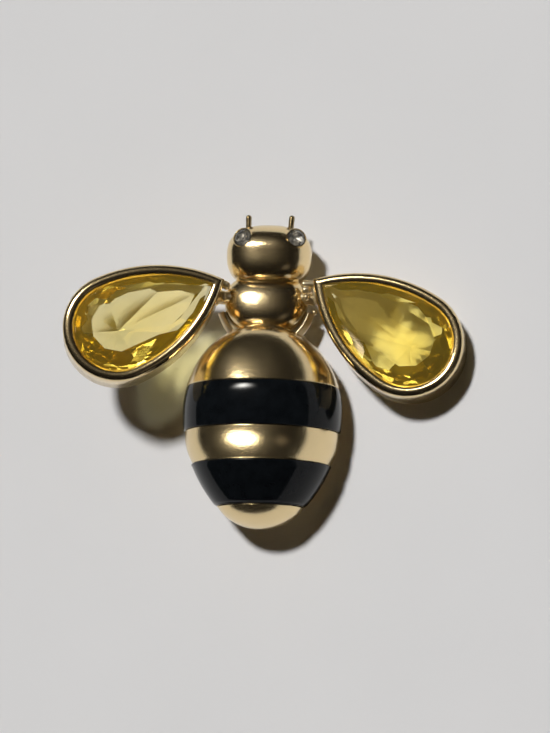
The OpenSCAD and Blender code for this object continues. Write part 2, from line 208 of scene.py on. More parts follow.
# Roll about the brooch's long axis with which it lies on its pin fitting and right wing
REST_ROLL = math.radians(16.9749)


def sizes(name):
    """A group's values, with lengths in millimetres and angles in degrees."""
    group = getattr(bpy.context.scene, "brooch_" + name)
    scales = {"LENGTH": 1 / MM, "ROTATION": math.degrees(1)}
    found = {}
    for key in group.__annotations__:
        scale = scales.get(group.bl_rna.properties[key].unit)
        value = getattr(group, key)
        found[key] = value * scale if scale else value
    return SimpleNamespace(**found)


def rest_matrix():
    """From the brooch's own frame, in millimetres, to its place at rest; the pin's mount ties the two."""
    trim = sizes("trim")
    tip = Vector(next(m for m in frame["record"]["mounts"] if m["name"] == "pin_stem")["pos_m"])
    tip_y = trim.hinge_y - trim.span - trim.fitting_l / 2 - PIN_PAST
    turn = Matrix.Rotation(REST_ROLL, 4, "Y")
    place = tip - turn @ (Vector((0, tip_y, trim.fitting_d / 2 - trim.fitting_h)) * MM)
    return Matrix.Translation(place) @ turn @ Matrix.Scale(MM, 4)


def wing_matrix(side):
    """From a wing's frame, its origin in the middle of the round end, to the brooch's; side is -1 or 1."""
    wing = sizes("wings")
    if side < 0:
        x, sweep, rise = wing.left_x, wing.left_sweep, wing.left_rise
    else:
        x, sweep, rise = wing.right_x, wing.right_sweep, wing.right_rise
    placed = (Matrix.Translation((x, wing.root_y, 0)) @ Matrix.Rotation(math.radians(-sweep), 4, "Z")
              @ Matrix.Rotation(math.radians(-rise), 4, "Y")
              @ Matrix.Translation((wing.stone_l - wing.stone_w / 2, 0, 0)))
    return Matrix.Diagonal((side, 1, 1, 1)) @ placed


def eye_matrix(side):
    """From an eye's frame, with its stone's edge at z = 0, to the brooch's."""
    body, trim = sizes("body"), sizes("trim")
    z = body.axis_z + dome_z(head_form(), head_dome(), trim.eye_x, trim.eye_y) + trim.cup_h
    x = body.head_x + trim.eye_shift + side * trim.eye_x
    place = Matrix.Translation((x, head_y() + trim.eye_y, z))
    return (place @ Matrix.Rotation(math.radians(side * trim.eye_out), 4, "Y")
            @ Matrix.Rotation(math.radians(-trim.eye_ahead), 4, "X"))


def head_y():
    """Distance of the head's middle ahead of the thorax's."""
    body = sizes("body")
    return body.thorax_l / 2 - body.neck_overlap + body.head_l / 2


def abdomen_y():
    """Distance of the abdomen's widest place ahead of the thorax's middle."""
    body = sizes("body")
    return -body.thorax_l / 2 + body.waist_overlap - body.abdomen_front_l


# A turned form: its greatest radius, and the length and end radius ahead of its widest place and behind it
Form = namedtuple("Form", "radius front front_end rear rear_end")


def abdomen_form():
    """The abdomen before its front end is made blunt."""
    body = sizes("body")
    return Form(body.abdomen_w / 2, body.abdomen_front_l, body.abdomen_front_r, body.abdomen_rear_l,
                body.abdomen_rear_r)


def thorax_form():
    """The thorax before it is settled into a dome."""
    body = sizes("body")
    half = body.thorax_l / 2
    return Form(body.thorax_w / 2, half + body.thorax_ahead, body.thorax_end_r, half + body.thorax_under,
                body.thorax_end_r)


def head_form():
    """The head before it is settled into a dome."""
    body = sizes("body")
    half = body.head_l / 2
    return Form(body.head_w / 2, half, body.head_end_r, half + body.head_under, body.head_end_r)


# A dome: its height as a share of the greatest radius, the fullness of its outline across, along and in
# plan, 2 for an ellipse and more for a fuller one, and by how much its ridge rises to the rear, for each
# millimetre


def thorax_dome():
    return {"height": sizes("body").thorax_h, "across": 2.2, "front": 2.35, "rear": 2.5, "plan_front": 2.3,
            "plan_rear": 2.2, "rise": 0.06}


def head_dome():
    return {"height": sizes("body").head_h, "across": 2.4, "front": 2.3, "rear": 3.6, "plan_front": 2.4,
            "plan_rear": 2.7, "rise": 0.0}


def side_radius(widest, length, end):
    """Radius of the side arc that runs on smoothly into an end arc."""
    return (widest * widest + length * length - 2 * length * end) / (2 * (widest - end))


def meeting_angle(widest, length, end):
    """Angle, seen from the side arc's centre, at which side arc and end arc meet."""
    side = side_radius(widest, length, end)
    sign = 1 if side > end else -1
    return math.atan2(sign * (length - end), sign * (side - widest))


def radius_at(form, y, inset=0.0):
    """Radius of a turned form at the distance y ahead of its widest place."""
    widest = form.radius
    length, end = (form.front, form.front_end) if y >= 0 else (form.rear, form.rear_end)
    side = side_radius(widest, length, end)
    y = abs(y)
    if y <= (side - inset) * math.sin(meeting_angle(widest, length, end)):
        return widest - side + math.sqrt((side - inset) ** 2 - y * y)
    return math.sqrt(max((end - inset) ** 2 - (y - length + end) ** 2, 0.0))


def outline(form, top, bottom, inset=0.0, steps=40):
    """Points of a form's outline from the distance top down to bottom, each (radius, distance)."""
    found = []
    widest = form.radius
    for sign, length, end in ((1, form.front, form.front_end), (-1, form.rear, form.rear_end)):
        side = side_radius(widest, length, end)
        meet = meeting_angle(widest, length, end)
        for i in range(steps):
            turn = meet * i / steps
            found.append((widest - side + (side - inset) * math.cos(turn),
                          sign * (side - inset) * math.sin(turn)))
        for i in range(steps + 1):
            turn = meet + (math.pi / 2 - meet) * i / steps
            found.append(((end - inset) * math.cos(turn),
                          sign * (length - end + (end - inset) * math.sin(turn))))
    margin = 0.01
    inside = sorted({(round(r, 7), round(y, 7)) for r, y in found if bottom + margin < y < top - margin},
                    key=lambda point: -point[1])
    ends = [(radius_at(form, y, inset), y) for y in (top, bottom)]
    return [ends[0], *inside, ends[1]]


# Mesh helpers


def add_path(bm, points, closed=False):
    """Vertices through the points, joined by edges."""
    verts = [bm.verts.new(p) for p in points]
    pairs = list(zip(verts, verts[1:]))
    if closed:
        pairs.append((verts[-1], verts[0]))
    edges = [bm.edges.new(pair) for pair in pairs]
    return verts, edges


def spin(bm, geom, axis, turn, steps, centre=(0, 0, 0)):
    """Spins vertices and edges about an axis, closed after a full turn, and gives their last place."""
    full = math.isclose(abs(turn), 2 * math.pi)
    made = bmesh.ops.spin(bm, geom=geom, cent=centre, axis=axis, dvec=(0, 0, 0), angle=turn, steps=steps,
                          use_merge=full, use_duplicate=False)
    return made["geom_last"]


def cylinder(bm, radius, height, segments=64):
    """An upright cylinder about its middle."""
    bmesh.ops.create_cone(bm, cap_ends=True, segments=segments, radius1=radius, radius2=radius, depth=height)


def block(bm, size, middle, edge):
    """A block with rounded edges."""
    bmesh.ops.create_cube(bm, size=1.0)
    bmesh.ops.scale(bm, verts=bm.verts[:], vec=size)
    move(bm, middle)
    bevel(bm, bm.edges[:], edge)


def move(bm, vec):
    """Moves a whole mesh."""
    bmesh.ops.translate(bm, verts=bm.verts[:], vec=vec)


def bevel(bm, edges, width):
    """Rounds edges."""
    bmesh.ops.bevel(bm, geom=edges, offset=width, offset_type="OFFSET", segments=3, profile=0.5,
                    affect="EDGES", clamp_overlap=True, material=-1)


def weld(bm):
    """Joins vertices at the same place and takes out faces without area."""
    bmesh.ops.remove_doubles(bm, verts=bm.verts[:], dist=WELD)
    bmesh.ops.dissolve_degenerate(bm, edges=bm.edges[:], dist=WELD / 10)


def close_holes(bm):
    """Fills what is open."""
    edges = [e for e in bm.edges if e.is_boundary]
    bmesh.ops.holes_fill(bm, edges=edges, sides=0)


def whole(bm):
    """All of a mesh."""
    return bm.verts[:] + bm.edges[:] + bm.faces[:]


def mirror(bm, axis):
    """Adds a mesh's mirror image."""
    bmesh.ops.mirror(bm, geom=whole(bm), axis=axis, merge_dist=WELD)


def only(kind, geom):
    """The vertices or the edges among what an operator made."""
    return [g for g in geom if isinstance(g, kind)]


def shade(bm, sharp_angle):
    """Smooth faces, with the edges sharper than an angle in degrees kept crisp."""
    limit = math.radians(sharp_angle)
    for face in bm.faces:
        face.smooth = True
    for edge in bm.edges:
        edge.smooth = not (len(edge.link_faces) == 2 and edge.calc_face_angle() > limit)


def add_object(name, bm):
    """A new object with the mesh as it stands."""
    mesh = bpy.data.meshes.new(name)
    bm.to_mesh(mesh)
    piece = bpy.data.objects.new(name, mesh)
    bpy.context.scene.collection.objects.link(piece)
    return piece


def join(bm, part):
    """Adds a part's mesh to a mesh, and frees the part's."""
    mesh = bpy.data.meshes.new("part")
    part.to_mesh(mesh)
    part.free()
    bm.from_mesh(mesh)
    bpy.data.meshes.remove(mesh)


def finish_piece(name, bm, material, replaced=(), matrix=None, sharp_angle=35.0, inside=None):
    """Lays a finished mesh down at the brooch's rest and makes its object."""
    weld(bm)
    if matrix is not None:
        bm.transform(matrix)
    bm.transform(rest_matrix())
    bmesh.ops.recalc_face_normals(bm, faces=bm.faces[:])
    shade(bm, sharp_angle)
    piece = add_object(name, bm)
    bm.free()
    piece.data.materials.append(material)
    if inside:
        piece.data.materials.append(inside)
    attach(piece, "root")
    if replaced:
        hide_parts(*replaced)
    return piece


# Shader maths


class Socket:
    """A shader socket that takes part in sums and products."""

    def __init__(self, tree, socket):
        self.tree = tree
        self.socket = socket

    def math(self, operation, first, second):
        node = self.tree.nodes.new("ShaderNodeMath")
        node.operation = operation
        for place, value in enumerate((first, second)):
            if isinstance(value, Socket):
                self.tree.links.new(value.socket, node.inputs[place])
            else:
                node.inputs[place].default_value = value
        return Socket(self.tree, node.outputs[0])

    def __add__(self, other):
        return self.math("ADD", self, other)

    __radd__ = __add__

    def __mul__(self, other):
        return self.math("MULTIPLY", self, other)

    __rmul__ = __mul__

    def __sub__(self, other):
        return self.math("SUBTRACT", self, other)

    def __rsub__(self, other):
        return self.math("SUBTRACT", other, self)

    def __truediv__(self, other):
        return self.math("DIVIDE", self, other)

    def __pow__(self, other):
        return self.math("POWER", self, other)


class Shader:
    """The nodes of a new material or a given world or light, with the one method that adds them."""

    def __init__(self, name, kind="Material"):
        self.made = bpy.data.materials.new(name) if kind == "Material" else name
        self.made.use_nodes = True
        self.tree = self.made.node_tree
        self.tree.nodes.clear()
        self.output = self.tree.nodes.new("ShaderNodeOutput" + kind)

    def node(self, kind, settings=None, values=(), out=0, **inputs):
        """A new node with its settings, and the values or links of its first and of its named sockets."""
        node = self.tree.nodes.new("ShaderNode" + kind)
        for key, value in (settings or {}).items():
            if key == "stops":
                ramp = node.color_ramp
                while len(ramp.elements) < len(value):
                    ramp.elements.new(1.0)
                for element, (place, colour) in zip(ramp.elements, value):
                    element.position = place
                    element.color = colour
            else:
                setattr(node, key, value)
        placed = list(zip(node.inputs, values))
        placed += [(self.socket_of(node, key), value) for key, value in inputs.items()]
        for socket, value in placed:
            if isinstance(value, Socket):
                self.tree.links.new(value.socket, socket)
            else:
                socket.default_value = value
        return Socket(self.tree, node.outputs[out])

    def maths(self, operation, *values):
        """A number worked out from others."""
        return self.node("Math", {"operation": operation}, values)

    def measure(self, operation, *values):
        """A number worked out from vectors."""
        return self.node("VectorMath", {"operation": operation}, values, out="Value")

    def ray(self, kind):
        """1 for a ray of this kind and 0 for others."""
        return self.node("LightPath", out="Is %s Ray" % kind)

    def along(self, point, axis, origin):
        """How far the shaded point lies from an origin along an axis, in millimetres."""
        return self.measure("DOT_PRODUCT", point, axis / MM) - axis.dot(origin) / MM

    def mix(self, share, first, second):
        """Two surfaces mixed, with the share of the second."""
        return self.node("MixShader", None, (share, first, second))

    def point(self):
        """The shaded point in its object's coordinates."""
        return self.node("TexCoord", out="Object")

    def noise(self, scale, detail, roughness=0.5):
        """A cloudy pattern fixed to the object."""
        return self.node("TexNoise", Vector=self.point(), Scale=scale, Detail=detail, Roughness=roughness)

    def ramp(self, amount, *stops):
        """A colour for each amount, from stops of a place and a colour or a grey."""
        stops = [(place, (*colour, 1.0) if hasattr(colour, "__len__") else (colour, colour, colour, 1.0))
                 for place, colour in stops]
        return self.node("ValToRGB", {"stops": stops}, (amount,))

    def bump(self, height, distance, strength=1.0, **inputs):
        """A slight relief."""
        return self.node("Bump", Height=height, Distance=distance, Strength=strength, **inputs)

    @staticmethod
    def socket_of(node, key):
        """A node's socket from its name with underscores, or from its identifier."""
        wanted = key.replace("_", " ").lower()
        named = [s for s in node.inputs if s.name.lower() == wanted and s.enabled]
        if not named:
            named = [s for s in node.inputs if s.identifier.lower() == key.lower()]
        return named[0]

    def finish(self, surface, volume=None):
        """Links the output and gives what was made."""
        self.tree.links.new(surface.socket, self.output.inputs["Surface"])
        if volume is not None:
            self.tree.links.new(volume.socket, self.output.inputs["Volume"])
        return self.made


def grey(level):
    """An opaque grey."""
    return level, level, level, 1.0


def gold_finish(name="polished gold plating", satin=0.0, metal=1.0, tint=(1.0, 1.0, 1.0)):
    """Polished gold under a slight veil, with faint waves left by hand polishing and fine pits."""
    shader = Shader(name)
    haze = shader.noise(scale=420.0, detail=4.0, roughness=0.6)
    waves = shader.noise(scale=260.0, detail=2.0)
    pits = shader.noise(scale=3800.0, detail=3.0, roughness=0.75)
    pitted = shader.ramp(pits, (0.62, 0.0), (0.72, 1.0))
    # A tint paints shade into the antennae's gold and sheen into the solder's
    gold = Vector([part * level for part, level in zip(tint, sizes("finishes").gold)])
    tone = shader.ramp(haze, (0.3, gold * 0.95), (0.7, gold))
    smooth = shader.bump(waves, distance=1.2e-5)
    polish = shader.node("BsdfPrincipled", Base_Color=tone, Metallic=metal,
                         Normal=shader.bump(pits, distance=1.2e-5, Normal=smooth),
                         Roughness=0.14 + satin + (haze - 0.5) * 0.05 + pitted * 0.06)
    veil = shader.node("BsdfPrincipled", Base_Color=tone, Metallic=metal, Roughness=0.36 + satin,
                       Normal=shader.bump(pits, distance=3e-5, Normal=smooth))
    veiled = 0.15
    return shader.finish(shader.mix(veiled, polish, veil))


def enamel_finish():
    """Glossy black enamel with a very slight wave."""
    shader = Shader("black enamel")
    cloud = shader.noise(scale=900.0, detail=3.0)
    enamel = Vector(sizes("finishes").enamel)
    tone = shader.ramp(cloud, (0.35, enamel), (0.7, enamel * 1.6))
    relief = shader.bump(shader.noise(scale=300.0, detail=1.0), distance=3e-5, strength=0.08)
    return shader.finish(shader.node("BsdfPrincipled", Base_Color=tone, Roughness=0.08 + cloud * 0.03,
                                     IOR=1.27, Normal=relief))


def gem_surface(shader, let_by, ior, haze, haze_colour):
    """Clear polished glass with a share of haze; shadow and diffuse rays cross it as let_by tells."""
    roughness = 0.004 + shader.noise(scale=700.0, detail=2.0) * 0.006
    glass = shader.node("BsdfPrincipled", Base_Color=grey(1.0), Roughness=roughness, IOR=ior,
                        Transmission_Weight=1.0)
    clouded = shader.mix(haze, glass, shader.node("BsdfDiffuse", Color=haze_colour))
    return shader.mix(shader.ray("Shadow") + shader.ray("Diffuse"), clouded, let_by)


def painted_caustic_patch(shader, placed, middle, size, spokes):
    """How far inside a painted patch of light with spokes a point lies: 1 in its middle and 0 at its edge."""
    point = shader.point()
    origin = placed @ Vector((*middle, 0))
    lengthways = shader.along(point, placed.to_3x3().col[0].normalized(), origin)
    across = shader.along(point, placed.to_3x3().col[1].normalized(), origin)
    away = (lengthways * lengthways + across * across) ** 0.5
    turn = shader.maths("ARCTAN2", across, lengthways)
    fan = shader.maths("PINGPONG", turn * (spokes / math.pi), 1.0)
    between, spoke = 0.45, 0.85
    return 1.0 - away / (size * (between + fan * spoke))


# What a wing stone lets by, painted by place on the stone as pools of light and shadow in place of its
# facets' caustics: patches, each with its middle in the wing's frame, size and number of spokes, the light
# let by outside them, a painted shadow, and in them, a painted pool of light, and the stone's haze
LEFT_LIGHT = {"patches": (((-4.6, 0.6), 3.4, 5), ((-1.6, 1.6), 2.6, 3)),
              "dim": 0.32, "clear": 1.0, "haze": 0.1}
RIGHT_LIGHT = {"patches": (((-3.5, 0.4), 2.3, 5), ((-1.5, 0.2), 2.2, 3)),
               "dim": 0.15, "clear": 1.3, "haze": 0.12}
HAZE_COLOUR = (0.95, 0.68, 0.1, 1.0)


def wing_stone_finish(name, side, patches, dim, clear, haze):
    """Yellow glass; the light that shadow and diffuse rays take through it is painted in bright patches with
    spokes and darker shadow round them, standing in for the caustics of its facets.
    """
    shader = Shader(name)
    placed = rest_matrix() @ wing_matrix(side)
    # Painted caustics: the light let through depends on where a ray crosses the stone, not on refraction
    first, second = (painted_caustic_patch(shader, placed, *patch) for patch in patches)
    inside = shader.maths("MAXIMUM", first, second)
    bright = shader.ramp(inside, (0.0, 0.0), (0.16, 0.75), (0.7, 1.0))
    let_by = shader.mix(bright, shader.node("BsdfTransparent", Color=grey(dim)),
                        shader.node("BsdfTransparent", Color=grey(clear)))
    absorbed = shader.node("VolumeAbsorption", Color=(*sizes("finishes").stone, 1.0), Density=260.0)
    surface = gem_surface(shader, let_by, ior=1.6, haze=haze, haze_colour=HAZE_COLOUR)
    return shader.finish(surface, absorbed)


def crystal_finish():
    """Clear crystal of the eyes."""
    shader = Shader("clear crystal")
    let_by = shader.node("BsdfTransparent", Color=grey(0.95))
    absorbed = shader.node("VolumeAbsorption", Color=(0.97, 0.985, 0.99, 1.0), Density=60.0)
    surface = gem_surface(shader, let_by, ior=1.65, haze=0.02, haze_colour=(0.9, 0.9, 0.92, 1.0))
    return shader.finish(surface, absorbed)


def foil_finish():
    """Silver foil behind an eye's crystal."""
    shader = Shader("silver foil")
    cloud = shader.noise(scale=2200.0, detail=2.0)
    tone = shader.ramp(cloud, (0.4, (0.07, 0.068, 0.06)), (0.62, (0.55, 0.54, 0.5)))
    return shader.finish(shader.node("BsdfPrincipled", Base_Color=tone, Metallic=1.0,
                                     Roughness=0.12 + cloud * 0.1))


def surface_finish():
    """A matt pale surface with faint mottling and grain."""
    shader = Shader("pale surface")
    cloud = shader.noise(scale=60.0, detail=4.0)
    base = Vector(sizes("finishes").surface)
    tone = shader.ramp(cloud, (0.35, base * 0.985), (0.65, base))
    relief = shader.bump(shader.noise(scale=2500.0, detail=2.0), distance=1e-4, strength=0.04)
    return shader.finish(shader.node("BsdfPrincipled", Base_Color=tone, Roughness=0.75 + cloud * 0.1,
                                     Normal=relief))


MAKERS = {
    "gold": gold_finish,
    "fitting": lambda: gold_finish("gold plated fitting", satin=0.05),
    # Solder of lugs and plate: gold with a paler, creamier tint, painted sheen standing in for their cream
    # highlights and floor reflections
    "solder": lambda: gold_finish("gold plated solder", satin=0.2, tint=(1.05, 1.13, 1.35)),
    # Antennae: gold with its colour darkened, painted shade standing in for the dark reflections on them
    "shade_darkened": lambda: gold_finish("dull gold", satin=0.1, tint=(0.4, 0.37, 0.33)),
    "inside": lambda: gold_finish("unpolished gold inside", satin=0.55, metal=0.5),
    "enamel": enamel_finish,
    "stone_left": lambda: wing_stone_finish("yellow stone left", -1, **LEFT_LIGHT),
    "stone_right": lambda: wing_stone_finish("yellow stone right", 1, **RIGHT_LIGHT),
    "crystal": crystal_finish,
    "foil": foil_finish,
    "surface": surface_finish,
}
FINISHES = {}


def finish(name):
    """The named material, made once."""
    if name not in FINISHES:
        FINISHES[name] = MAKERS[name]()
    return FINISHES[name]


# The body


def bands():
    """Upper and lower edge of each enamel band, as distances ahead of the abdomen's widest place."""
    body, band = sizes("body"), sizes("bands")
    top = body.abdomen_front_l - band.front_at
    second = top - band.front_w - band.gap
    return [(top, top - band.front_w), (second, second - band.rear_w)]


def sunk_outline(form, top, bottom, sink_top, sink_bottom):
    """An outline that sinks smoothly to the enamel at its ends, by two depths over a set length."""
    reach = sizes("bands").sink_l
    points = []
    for r, y in outline(form, top, bottom):
        near_top = max(0.0, 1 - (top - y) / reach)
        near_bottom = max(0.0, 1 - (y - bottom) / reach)
        points.append((r - sink_top * near_top ** 2 - sink_bottom * near_bottom ** 2, y))
    return points


def rounding(r, y, size, toward, steps=5):
    """Points of a rounded edge from the skin down into a groove whose side stands at the distance y."""
    turns = [math.pi / 2 * i / steps for i in range(steps + 1)]
    return [(r - size + size * math.cos(turn), y + toward * (size - size * math.sin(turn))) for turn in turns]


def oval(share_out, fullness):
    """Height of a rounded outline of height 1 at a share of its length from its middle."""
    return (1 - min(abs(share_out), 1.0) ** fullness) ** (1 / fullness)


def half_width(form, dome, y):
    """Half width of a domed form at the distance y."""
    if y > 0:
        return form.radius * oval(y / form.front, dome["plan_front"])
    return form.radius * oval(y / form.rear, dome["plan_rear"])


def ridge(form, dome, y):
    """Height of a dome's ridge above its middle line at the distance y."""
    along = oval(y / form.front, dome["front"]) if y > 0 else oval(y / form.rear, dome["rear"])
    return dome["height"] * form.radius * along * (1 - dome["rise"] * y)


def dome_z(form, dome, x, y):
    """Height of a dome above its middle line."""
    return ridge(form, dome, y) * oval(x / half_width(form, dome, y), dome["across"])


def fuller(cosine, sine, fullness):
    """How much further out than a circle a fuller outline lies, in the direction of a cosine and sine."""
    return (cosine ** fullness + sine ** fullness) ** (-1 / fullness)


def settle(bm, form, dome):
    """Turns a round form, whose middle line lies at z = 0, into a flatter, fuller dome."""
    for vert in bm.verts:
        radius = radius_at(form, vert.co.y)
        if radius < WELD:
            continue
        wider = half_width(form, dome, vert.co.y) / radius
        if vert.co.z <= 0:
            vert.co.x *= wider
            continue
        out = fuller(abs(vert.co.x) / radius, vert.co.z / radius, dome["across"])
        vert.co.x *= out * wider
        vert.co.z *= out * ridge(form, dome, vert.co.y) / radius


# The abdomen's blunt front end: its outline's fullness and how far that runs past the end, by how much its
# ridge falls for each millimetre, how much fuller it is across at the end, and how far its end is drawn back
SHOULDER = {"fullness": 3.8, "past": 0.3, "fall": 0.038, "across": 0.9, "back": 0.45}


def raise_shoulder(bm, form, start):
    """Makes the abdomen's front end blunt: it stays high ahead of the distance start, then drops steeply."""
    length = form.front + SHOULDER["past"]
    level = radius_at(form, start) / oval(start / length, SHOULDER["fullness"])
    for vert in bm.verts:
        y = vert.co.y
        radius = radius_at(form, y)
        if y <= start or vert.co.z <= 0 or radius < WELD:
            continue
        ahead = (y - start) / (form.front - start)
        out = fuller(abs(vert.co.x) / radius, vert.co.z / radius, 2 + SHOULDER["across"] * ahead)
        height = level * oval(y / length, SHOULDER["fullness"]) * (1 - SHOULDER["fall"] * (y - start))
        vert.co.x *= out
        vert.co.y -= SHOULDER["back"] * ahead ** 2
        vert.co.z *= out * height / radius


def turned_form(bm, form, grooves=()):
    """A form turned above its middle line, on a straight foot; its grooves end on shelves."""
    body, band = sizes("body"), sizes("bands")
    foot_angle = math.radians(band.foot) if grooves else 0.0
    lip, deep = band.lip, band.depth + band.seam
    paths = []
    start, before = form.front, 0.0
    for top, bottom in grooves:
        top, bottom = top + band.seam, bottom - band.seam
        sink = band.sink if before else band.sink_front
        near, far = radius_at(form, top + lip) - sink, radius_at(form, bottom - lip) - band.sink
        paths.append(("skin", sunk_outline(form, start, top + lip, before, sink)))
        paths.append(("groove", [*rounding(near, top, lip, 1), *outline(form, top, bottom, deep, 16),
                                 *reversed(rounding(far, bottom, lip, -1))]))
        paths.append(("mouth", [(near, top + lip), (far, bottom - lip)]))
        start, before = bottom - lip, band.sink
    paths.append(("skin", sunk_outline(form, start, -form.rear, before, 0.0)))
    turn = Matrix.Rotation(-foot_angle, 4, "Y")
    made = {"skin": [], "groove": [], "mouth": []}
    for kind, points in paths:
        verts, edges = add_path(bm, [turn @ Vector((r, y, 0)) for r, y in points])
        made[kind] += verts + edges
    spin(bm, made["skin"] + made["groove"], LENGTHWAYS, foot_angle - math.pi / 2, steps=56)
    last = made["skin"] + made["mouth"]
    if grooves:
        last = spin(bm, last, LENGTHWAYS, foot_angle, steps=2)
    rounded = 0.12
    for down, narrower in ((rounded - body.axis_z, 1.0), (-rounded, 1 - rounded / form.radius)):
        last = bmesh.ops.extrude_edge_only(bm, edges=only(bmesh.types.BMEdge, last))["geom"]
        foot = only(bmesh.types.BMVert, last)
        bmesh.ops.translate(bm, verts=foot, vec=(0, 0, down))
        bmesh.ops.scale(bm, verts=foot, vec=(narrower, narrower, 1))
    weld(bm)
    mirror(bm, "X")
    weld(bm)
    close_holes(bm)


def drill_eyes(bm):
    """Bores for the eye stones through the head, cut by round plugs."""
    spare, length, middle = 0.12, 3.0, 0.55
    r = sizes("trim").eye_d / 2 + spare
    bmesh.ops.recalc_face_normals(bm, faces=bm.faces[:])
    drilled = add_object("drilled", bm)
    for side in (-1, 1):
        round_plug = bmesh.new()
        cylinder(round_plug, r, length)
        move(round_plug, (0, 0, middle))
        round_plug.transform(eye_matrix(side))
        plug = add_object("plug", round_plug)
        round_plug.free()
        cut = drilled.modifiers.new("bore", "BOOLEAN")
        cut.operation = "DIFFERENCE"
        cut.solver = "EXACT"
        cut.object = plug
        graph = bpy.context.evaluated_depsgraph_get()
        drilled.data = bpy.data.meshes.new_from_object(drilled.evaluated_get(graph), depsgraph=graph)
        drilled.modifiers.clear()
        bpy.data.objects.remove(plug)
    bm.clear()
    bm.from_mesh(drilled.data)
    bpy.data.objects.remove(drilled)


class BROOCH_OT_body(bpy.types.Operator):
    """Make the gold abdomen, thorax and head"""

    bl_idname = "brooch.body"
    bl_label = "Body"

    def execute(self, context):
        body = sizes("body")

        bm = bmesh.new()
        turned_form(bm, abdomen_form(), bands())
        raise_shoulder(bm, abdomen_form(), bands()[0][0] + sizes("bands").lip)
        move(bm, (0, abdomen_y(), body.axis_z))
        finish_piece("abdomen", bm, finish("gold"), ("casting",))

        bm = bmesh.new()
        turned_form(bm, thorax_form())
        settle(bm, thorax_form(), thorax_dome())
        move(bm, (body.thorax_x, 0, body.axis_z))
        finish_piece("thorax", bm, finish("gold"), ("casting",))

        bm = bmesh.new()
        turned_form(bm, head_form())
        settle(bm, head_form(), head_dome())
        move(bm, (body.head_x, head_y(), body.axis_z))
        weld(bm)
        drill_eyes(bm)
        finish_piece("head", bm, finish("gold"), ("casting",))
        return {"FINISHED"}


class BROOCH_OT_enamel(bpy.types.Operator):
    """Make the two enamel bands"""

    bl_idname = "brooch.enamel"
    bl_label = "Enamel bands"

    def execute(self, context):
        body, band = sizes("body"), sizes("bands")
        form, lip = abdomen_form(), band.lip
        foot_angle = math.radians(band.foot)
        turn = Matrix.Rotation(-foot_angle, 4, "Y")
        for name, (top, bottom) in zip(("enamel_front", "enamel_rear"), bands()):
            bm = bmesh.new()
            outer = outline(form, top - lip, bottom + lip)
            inner = outline(form, top, bottom, band.depth, 12)
            near, far = radius_at(form, top), radius_at(form, bottom)
            section = [*reversed(rounding(near, top, lip, -1)), *outer[1:-1], *rounding(far, bottom, lip, 1),
                       *reversed(inner)]
            verts, edges = add_path(bm, [turn @ Vector((r, y, 0)) for r, y in section], closed=True)
            spin(bm, verts + edges, LENGTHWAYS, 2 * foot_angle - math.pi, steps=112)
            weld(bm)
            close_holes(bm)
            move(bm, (0, abdomen_y(), body.axis_z))
            finish_piece(name + "_band", bm, finish("enamel"), (name,))
        return {"FINISHED"}


# The wings


def pear_sizes(wing):
    """Round end's radius, distance of the point from its middle, and centre and radius of the flank arcs."""
    r = wing.stone_w / 2
    point = wing.stone_l - r
    centre = (point * point - r * r) / (2 * r)
    return r, point, centre, r + centre


def edge_at(direction, r, point):
    """Distance from the round end's middle to the outline's tangent, square to a direction from the point."""
    direction = abs(direction)
    centre = (point * point - r * r) / (2 * r)
    if direction >= 90:
        return r
    if direction >= math.degrees(math.atan(centre / point)):
        return r + centre - centre * math.sin(math.radians(direction))
    return point * math.cos(math.radians(direction))


def pear_outline(steps=28):
    """Points round a pear outline, anticlockwise from the round end."""
    r, _, centre, flank = pear_sizes(sizes("wings"))
    last = math.pi / 2 + math.acos(centre / flank)
    turns = [math.pi / 2 * i / steps for i in range(steps)]
    half = [(r * math.cos(turn), r * math.sin(turn)) for turn in turns]
    turns = [math.pi / 2 + (last - math.pi / 2) * i / steps for i in range(steps + 1)]
    half += [(flank * math.cos(turn), -centre + flank * math.sin(turn)) for turn in turns]
    return half + [(x, -y) for x, y in reversed(half[1:-1])]


def cut_facet(bm, direction, d0, z0, d1, z1):
    """Cuts a stone by the plane from the distance d0 at the height z0 to d1 at z1, square to a direction."""
    around = math.radians(180 - direction)
    out = Vector((math.cos(around), math.sin(around), 0))
    normal = out * abs(z1 - z0) + Vector((0, 0, 1)) * (d0 - d1) * (1 if z1 > z0 else -1)
    cut = bmesh.ops.bisect_plane(bm, geom=whole(bm), dist=1e-5, plane_co=out * d0 + Vector((0, 0, z0)),
                                 plane_no=normal.normalized(), clear_outer=True)
    edges = only(bmesh.types.BMEdge, cut["geom_cut"])
    if edges:
        bmesh.ops.contextual_create(bm, geom=edges)


# Directions of a pear stone's facets, in degrees from its point: the large ones, those between them at the
# edge, and those between them at the table
MAIN_FACETS = (50, 76, 108, 144, 180, -144, -108, -76, -50)
EDGE_FACETS = (42, 62, 90, 126, 162, -162, -126, -90, -62, -42)
TABLE_FACETS = (62, 90, 126, 162, -162, -126, -90, -62)


